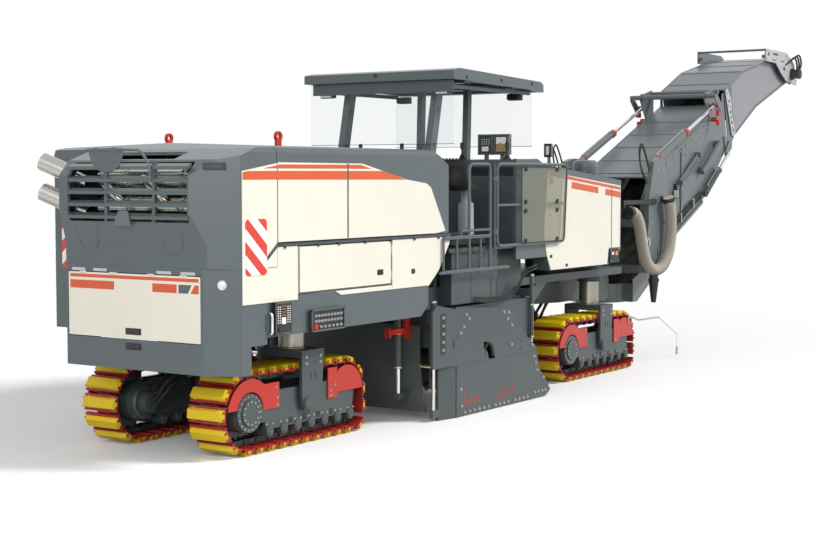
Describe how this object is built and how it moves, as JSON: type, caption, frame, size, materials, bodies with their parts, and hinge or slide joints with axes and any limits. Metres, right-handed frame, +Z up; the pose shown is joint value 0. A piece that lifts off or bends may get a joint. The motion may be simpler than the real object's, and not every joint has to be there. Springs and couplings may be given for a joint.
{
  "type": "cold planer milling machine",
  "caption": "Large crawler-mounted cold planer with milling drum, operator platform under a canopy, and a slewing, lifting and folding discharge conveyor",
  "frame": {"origin": "centre of the whole machine's box, on the ground under the tracks", "axes": "+X forward to the conveyor's tip, +Y to the machine's left, +Z up"},
  "size_m": [15.8816, 2.6039, 4.645],
  "materials": {
    "blue_grey_paint": "dark blue-grey machine paint, satin, dusty on top",
    "cream_paint": "cream machine paint, semi-gloss",
    "dark_frame_paint": "dark frame paint, satin, worn at the edges",
    "red_paint": "red safety paint, chipped",
    "track_steel": "red-brown shoes with yellow polyurethane pads",
    "drum_steel": "bare milled steel, rust in the corners",
    "cast_iron": "plain cast iron",
    "polished_steel": "polished stainless steel",
    "polished_rod": "hard-chromed rod",
    "cylinder_paint": "grey cylinder paint",
    "hose_rubber": "ribbed black hose, dull",
    "belt_rubber": "black conveyor belt with cleats, dusty",
    "black_plastic": "black moulded plastic, fine grain",
    "clear_sheet": "clear sheet, slightly smoked",
    "red_white_board": "red and white slanted reflective stripes"
  },
  "bodies": {
    "chassis": {"air_cleaner": "black_plastic", "boarding_ladders": "blue_grey_paint", "canopy_posts": "blue_grey_paint", "canopy_roof": "blue_grey_paint", "chassis_frame": "dark_frame_paint", "drum_housing": "dark_frame_paint", "engine_block": "cast_iron", "exhaust": "polished_steel", "front_body": "blue_grey_paint", "lift_barrels": "dark_frame_paint", "lifting_eyes": "red_paint", "lower_sides": "blue_grey_paint", "operator_console": "blue_grey_paint", "platform": "dark_frame_paint", "rear_lower_walls": "blue_grey_paint", "rear_module": "blue_grey_paint", "receiving_trough": "dark_frame_paint", "service_boxes": "black_plastic", "side_sheets": "cream_paint", "warning_boards": "red_white_board", "windscreens": "clear_sheet"},
    "milling_rotor": {"milling_drum": "drum_steel"},
    "right_side_plate": {"side_plate_right": "dark_frame_paint"},
    "left_side_plate": {"side_plate_left": "dark_frame_paint"},
    "scraper": {"scraper_blade": "dark_frame_paint"},
    "hood": {"engine_hood": "blue_grey_paint", "hood_side_sheets": "cream_paint"},
    "back_door": {"rear_door": "cream_paint"},
    "right_service_door": {"service_door_right": "cream_paint"},
    "left_service_door": {"service_door_left": "cream_paint"},
    "right_gate": {"gate_right": "blue_grey_paint", "gate_screen_right": "clear_sheet"},
    "left_gate": {"gate_left": "blue_grey_paint", "gate_screen_left": "clear_sheet"},
    "conveyor_yoke": {"slew_yoke": "dark_frame_paint", "dust_hose": "hose_rubber", "dust_hose_fittings": "black_plastic"},
    "conveyor_lower": {"lower_boom": "dark_frame_paint", "lower_belt": "belt_rubber"},
    "conveyor_upper": {"upper_boom": "dark_frame_paint", "upper_belt": "belt_rubber"},
    "lift_cylinder_barrels": {"boom_lift_barrels": "cylinder_paint"},
    "lift_cylinder_rods": {"boom_lift_rods": "polished_rod"},
    "fold_cylinder_barrels": {"boom_fold_barrels": "cylinder_paint"},
    "fold_cylinder_rods": {"boom_fold_rods": "polished_rod"},
    "crawler_rear_right": {"track_frame_rear_right": "dark_frame_paint", "track_rear_right": "track_steel", "track_guards_rear_right": "red_paint"},
    "crawler_rear_left": {"track_frame_rear_left": "dark_frame_paint", "track_rear_left": "track_steel", "track_guards_rear_left": "red_paint"},
    "crawler_front_right": {"track_frame_front_right": "dark_frame_paint", "track_front_right": "track_steel", "track_guards_front_right": "red_paint", "guide_bar": "polished_steel"},
    "crawler_front_left": {"track_frame_front_left": "dark_frame_paint", "track_front_left": "track_steel", "track_guards_front_left": "red_paint"}
  },
  "joints": [
    {"name": "drum_spin", "type": "hinge", "parent": "chassis", "child": "milling_rotor", "pos_m": [-3.29909, 0, 0.62], "axis": [0, 1, 0], "continuous": true},
    {"name": "steer_rear_right", "type": "hinge", "parent": "chassis", "child": "crawler_rear_right", "pos_m": [-6.24909, -0.66, 0.9], "axis": [0, 0, 1], "range_deg": [-15, 15]},
    {"name": "steer_rear_left", "type": "hinge", "parent": "chassis", "child": "crawler_rear_left", "pos_m": [-6.24909, 0.66, 0.9], "axis": [0, 0, 1], "range_deg": [-15, 15]},
    {"name": "steer_front_right", "type": "hinge", "parent": "chassis", "child": "crawler_front_right", "pos_m": [-0.07909, -0.71, 0.9], "axis": [0, 0, 1], "range_deg": [-15, 15]},
    {"name": "steer_front_left", "type": "hinge", "parent": "chassis", "child": "crawler_front_left", "pos_m": [-0.07909, 0.71, 0.9], "axis": [0, 0, 1], "range_deg": [-15, 15]},
    {"name": "side_plate_right_lift", "type": "slide", "parent": "chassis", "child": "right_side_plate", "axis": [0, 0, 1], "range_m": [0, 0.3]},
    {"name": "side_plate_left_lift", "type": "slide", "parent": "chassis", "child": "left_side_plate", "axis": [0, 0, 1], "range_m": [0, 0.3]},
    {"name": "scraper_lift", "type": "slide", "parent": "chassis", "child": "scraper", "axis": [0, 0, 1], "range_m": [0, 0.24]},
    {"name": "hood_tilt", "type": "hinge", "parent": "chassis", "child": "hood", "pos_m": [-4.24409, 0, 2.01], "axis": [0, 1, 0], "range_deg": [0, 35]},
    {"name": "rear_door_swing", "type": "hinge", "parent": "chassis", "child": "back_door", "pos_m": [-7.85309, 0, 1.682], "axis": [0, 1, 0], "range_deg": [0, 100]},
    {"name": "service_door_right_swing", "type": "hinge", "parent": "chassis", "child": "right_service_door", "pos_m": [-5.39909, -1.246, 1.7], "axis": [0, 0, 1], "range_deg": [0, 110]},
    {"name": "service_door_left_swing", "type": "hinge", "parent": "chassis", "child": "left_service_door", "pos_m": [-5.39909, 1.246, 1.7], "axis": [0, 0, -1], "range_deg": [0, 110]},
    {"name": "gate_right_swing", "type": "hinge", "parent": "chassis", "child": "right_gate", "pos_m": [-3.44409, -1.27, 2.2], "axis": [0, 0, -1], "range_deg": [0, 95]},
    {"name": "gate_left_swing", "type": "hinge", "parent": "chassis", "child": "left_gate", "pos_m": [-3.44409, 1.27, 2.2], "axis": [0, 0, 1], "range_deg": [0, 95]},
    {"name": "conveyor_slew", "type": "hinge", "parent": "chassis", "child": "conveyor_yoke", "pos_m": [1.60091, 0, 1.5], "axis": [0, 0, 1], "range_deg": [-45, 45]},
    {"name": "conveyor_luff", "type": "hinge", "parent": "conveyor_yoke", "child": "conveyor_lower", "pos_m": [2.03091, 0, 1.5], "axis": [0, -1, 0], "range_deg": [-8, 8]},
    {"name": "conveyor_fold", "type": "hinge", "parent": "conveyor_lower", "child": "conveyor_upper", "pos_m": [5.08091, 0, 3.06], "axis": [0, 1, 0], "range_deg": [0, 100]},
    {"name": "lift_barrel_pivot", "type": "hinge", "parent": "conveyor_yoke", "child": "lift_cylinder_barrels", "pos_m": [2.13091, 0, 2.75], "axis": [0, -1, 0], "range_deg": [-10.1, 10.1]},
    {"name": "lift_rod_slide", "type": "slide", "parent": "lift_cylinder_barrels", "child": "lift_cylinder_rods", "axis": [0.9273, 0, 0.3743], "range_m": [-0.16, 0.16]},
    {"name": "fold_barrel_pivot", "type": "hinge", "parent": "conveyor_lower", "child": "fold_cylinder_barrels", "pos_m": [4.03091, 0, 2.29], "axis": [0, -1, 0], "range_deg": [0, 13.2]},
    {"name": "fold_rod_slide", "type": "slide", "parent": "fold_cylinder_barrels", "child": "fold_cylinder_rods", "axis": [0.8234, 0, 0.5675], "range_m": [0, 0.24]}
  ],
  "couplings": [
    {"joint": "lift_barrel_pivot", "follows": "conveyor_luff", "ratio": 1.24},
    {"joint": "lift_rod_slide", "follows": "conveyor_luff", "m_per_rad": -1.12},
    {"joint": "fold_barrel_pivot", "follows": "conveyor_fold", "ratio": 0.13},
    {"joint": "fold_rod_slide", "follows": "conveyor_fold", "m_per_rad": 0.135}
  ]
}
